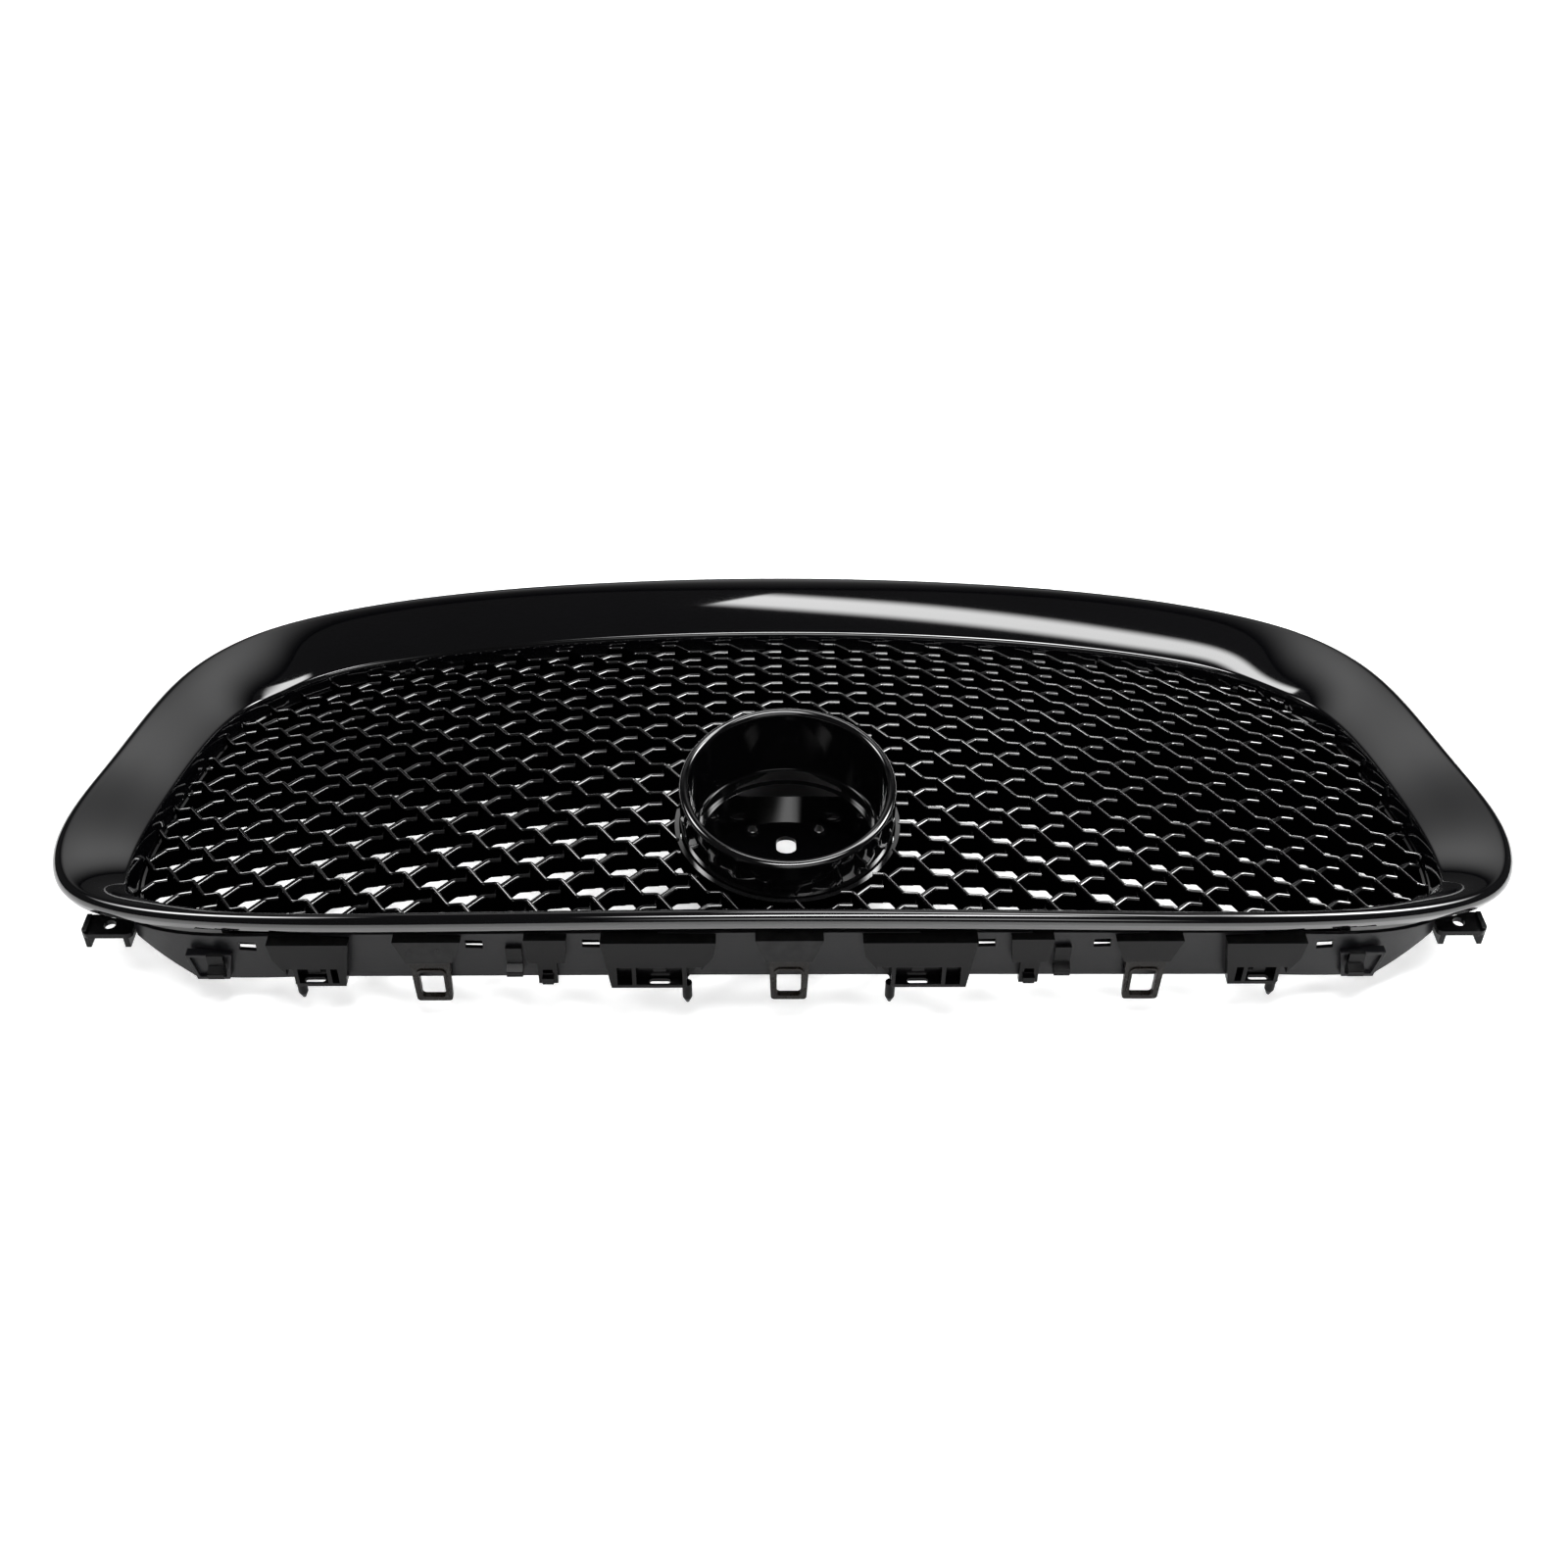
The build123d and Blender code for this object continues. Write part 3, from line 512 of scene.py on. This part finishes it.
def build_bezel():
    """A closed ring turned about the badge axis, leaning towards the near edge the higher it gets."""
    outline = [(SEAT, 0.0), (SEAT, SEAT_TOP - 0.3), (SEAT + 0.3, SEAT_TOP)]
    outline += [(CONE + (CONE_TOP - CONE) * t, SEAT_TOP + CONE_HEIGHT * t) for t in (0.0, 0.25, 0.5, 0.75)]
    outline += [tuple(p) for p in arc(RIM_CENTRE, RIM_RADIUS, 180, 0, 17)]
    outline += [(57.6, 0.0), (55.4, 0.0), (56.1, 37.4), (55.0, 37.4), (50.8, 0.0)]
    points = []
    for i in range(BEZEL_TURNS):
        angle = 2 * math.pi * i / BEZEL_TURNS
        c, s = math.cos(angle), math.sin(angle)
        points += [(r * c, r * s, z + z / RIM_TOP * (RIM_LEAN * r * s - RIM_SINK)) for r, z in outline]
    faces = grid_faces(BEZEL_TURNS, len(outline))
    piece("bezel_ring", points, faces, CUP, "badge_bezel", "gloss_cup", 30.0)


build_bezel()


# ---------------------------------------------------------------- CAD pieces keep their own shape
def dress(node, material, bevel=0.35):
    """Material and small rounded edges on a CAD piece."""
    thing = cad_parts[node]
    thing.data.materials.clear()
    thing.data.materials.append(material)
    weld = thing.modifiers.new("weld", "WELD")
    weld.merge_threshold = 1e-6
    soft = thing.modifiers.new("edges", "BEVEL")
    soft.width = bevel * MM
    soft.segments = 2
    soft.limit_method = "ANGLE"
    soft.angle_limit = math.radians(40)
    even = thing.modifiers.new("even_shading", "WEIGHTED_NORMAL")
    even.mode = "FACE_AREA"
    even.weight = 100
    even.keep_sharp = True


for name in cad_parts:
    if name in ("surround", "mesh_insert", "badge_bezel"):
        continue
    if name.startswith("snap_tab"):
        dress(name, TAB)
    elif name == "lower_carrier" or name.startswith("end_pocket"):
        dress(name, CARRIER, 0.3)
    elif name == "cup_screws":
        dress(name, STEEL, 0.2)
    elif name == "badge_cup":
        dress(name, CUP, 0.25)
    else:
        dress(name, BRACKET)


# ---------------------------------------------------------------- studio
def floor_material():
    """Pale matt paper with a faint cloudiness."""
    material = bpy.data.materials.new("pale_floor")
    material.use_nodes = True
    nodes = material.node_tree.nodes
    links = material.node_tree.links
    noise = nodes.new("ShaderNodeTexNoise")
    noise.inputs["Scale"].default_value = 3.0
    ramp = nodes.new("ShaderNodeValToRGB")
    ramp.color_ramp.elements[0].color = (0.905, 0.905, 0.905, 1)
    ramp.color_ramp.elements[1].color = (0.92, 0.92, 0.92, 1)
    links.new(noise.outputs["Fac"], ramp.inputs["Fac"])
    shader = nodes["Principled BSDF"]
    links.new(ramp.outputs["Color"], shader.inputs["Base Color"])
    shader.inputs["Roughness"].default_value = 0.9
    shader.inputs["Specular IOR Level"].default_value = 0.1
    ray = nodes.new("ShaderNodeLightPath")
    seen = nodes.new("ShaderNodeMath")
    seen.operation = "MULTIPLY"
    seen.inputs[1].default_value = 0.55
    links.new(ray.outputs["Is Camera Ray"], seen.inputs[0])
    links.new(ramp.outputs["Color"], shader.inputs["Emission Color"])
    links.new(seen.outputs["Value"], shader.inputs["Emission Strength"])
    return material


FLOOR_HALF, FLOOR_GAP = 6.0, 0.0005
floor_z = cad_bounds[0].z - FLOOR_GAP
floor_mesh = bpy.data.meshes.new("floor")
corners = [(x * FLOOR_HALF, y * FLOOR_HALF, floor_z) for x, y in ((-1, -1), (1, -1), (1, 1), (-1, 1))]
floor_mesh.from_pydata(corners, [], [(0, 1, 2, 3)])
floor_mesh.materials.append(floor_material())
floor = bpy.data.objects.new("floor", floor_mesh)
bpy.context.scene.collection.objects.link(floor)


def softbox(name, place, aim, wide, tall, strength, soft_x=0.15, soft_y=0.15):
    """A glowing panel at place, facing aim, in metres; its edges fade over soft_x and soft_y of its size."""
    material = bpy.data.materials.new(name)
    material.use_nodes = True
    nodes = material.node_tree.nodes
    links = material.node_tree.links
    nodes.clear()
    place_on = nodes.new("ShaderNodeTexCoord")
    split = nodes.new("ShaderNodeSeparateXYZ")
    links.new(place_on.outputs["Generated"], split.inputs["Vector"])
    fades = []
    for axis, soft in (("X", soft_x), ("Y", soft_y)):
        middle = nodes.new("ShaderNodeMath")
        middle.operation = "SUBTRACT"
        middle.inputs[1].default_value = 0.5
        links.new(split.outputs[axis], middle.inputs[0])
        away = nodes.new("ShaderNodeMath")
        away.operation = "ABSOLUTE"
        links.new(middle.outputs["Value"], away.inputs[0])
        fade = nodes.new("ShaderNodeMapRange")
        fade.interpolation_type = "SMOOTHSTEP"
        fade.inputs["From Min"].default_value = 0.5
        fade.inputs["From Max"].default_value = 0.5 - soft
        links.new(away.outputs["Value"], fade.inputs["Value"])
        fades.append(fade)
    both = nodes.new("ShaderNodeMath")
    both.operation = "MULTIPLY"
    links.new(fades[0].outputs["Result"], both.inputs[0])
    links.new(fades[1].outputs["Result"], both.inputs[1])
    power = nodes.new("ShaderNodeMath")
    power.operation = "MULTIPLY"
    power.inputs[1].default_value = strength
    links.new(both.outputs["Value"], power.inputs[0])
    glow = nodes.new("ShaderNodeEmission")
    links.new(power.outputs["Value"], glow.inputs["Strength"])
    out = nodes.new("ShaderNodeOutputMaterial")
    links.new(glow.outputs["Emission"], out.inputs["Surface"])
    mesh = bpy.data.meshes.new(name)
    w, h = wide / 2, tall / 2
    mesh.from_pydata([(-w, -h, 0), (w, -h, 0), (w, h, 0), (-w, h, 0)], [], [(0, 1, 2, 3)])
    mesh.materials.append(material)
    thing = bpy.data.objects.new(name, mesh)
    turn = (Vector(aim) - Vector(place)).to_track_quat("-Z", "Y").to_matrix().to_4x4()
    thing.matrix_world = Matrix.Translation(place) @ turn
    bpy.context.scene.collection.objects.link(thing)


softbox("top_right", (0.40, 0.45, 1.25), (0.17, 0.10, 0.0), 1.14, 0.32, 10.0, 0.02, 0.35)
softbox("back_wall", (0.0, 2.2, 1.6), (0.0, 0.0, 0.0), 4.2, 2.0, 1.0, 0.45, 0.5)
softbox("crest_light", (0.2, -0.45, 1.7), (0.0, 0.0, 0.0), 1.6, 0.4, 26.0, 0.3, 0.3)
softbox("front_low", (0.4, -1.8, 1.1), (0.0, 0.0, 0.0), 2.0, 0.7, 4.0, 0.3, 0.4)
softbox("left_high", (-1.7, 0.6, 1.8), (0.0, 0.0, 0.0), 1.2, 1.2, 18.0, 0.45, 0.45)
softbox("right_high", (1.7, 0.6, 1.8), (0.0, 0.0, 0.0), 1.3, 1.3, 28.0, 0.45, 0.45)

world = bpy.data.worlds.new("studio")
world.use_nodes = True
background = world.node_tree.nodes["Background"]
ray = world.node_tree.nodes.new("ShaderNodeLightPath")
strength = world.node_tree.nodes.new("ShaderNodeMapRange")
strength.inputs["To Min"].default_value = 0.6
strength.inputs["To Max"].default_value = 0.06
world.node_tree.links.new(ray.outputs["Is Glossy Ray"], strength.inputs["Value"])
world.node_tree.links.new(strength.outputs["Result"], background.inputs["Strength"])
background.inputs["Color"].default_value = (1, 1, 1, 1)
bpy.context.scene.world = world

# ---------------------------------------------------------------- camera, metres
CAMERA_PLACE = (-0.0170, -0.7493, 0.6760)
LOOK = Vector((0.0152, 0.7621, -0.6473))
LEVEL = Vector((0.99995, -0.0122, 0.0091))
camera_data = bpy.data.cameras.new("camera")
camera_data.lens = 42.3
camera_data.sensor_width = 36.0
camera_data.clip_end = 20.0
camera = bpy.data.objects.new("camera", camera_data)
back = -LOOK.normalized()
up = back.cross(LEVEL).normalized()
right = up.cross(back).normalized()
turn = Matrix((right, up, back)).transposed().to_4x4()
camera.matrix_world = Matrix.Translation(CAMERA_PLACE) @ turn
bpy.context.scene.collection.objects.link(camera)
bpy.context.scene.camera = camera
bpy.context.scene.view_settings.view_transform = "Standard"
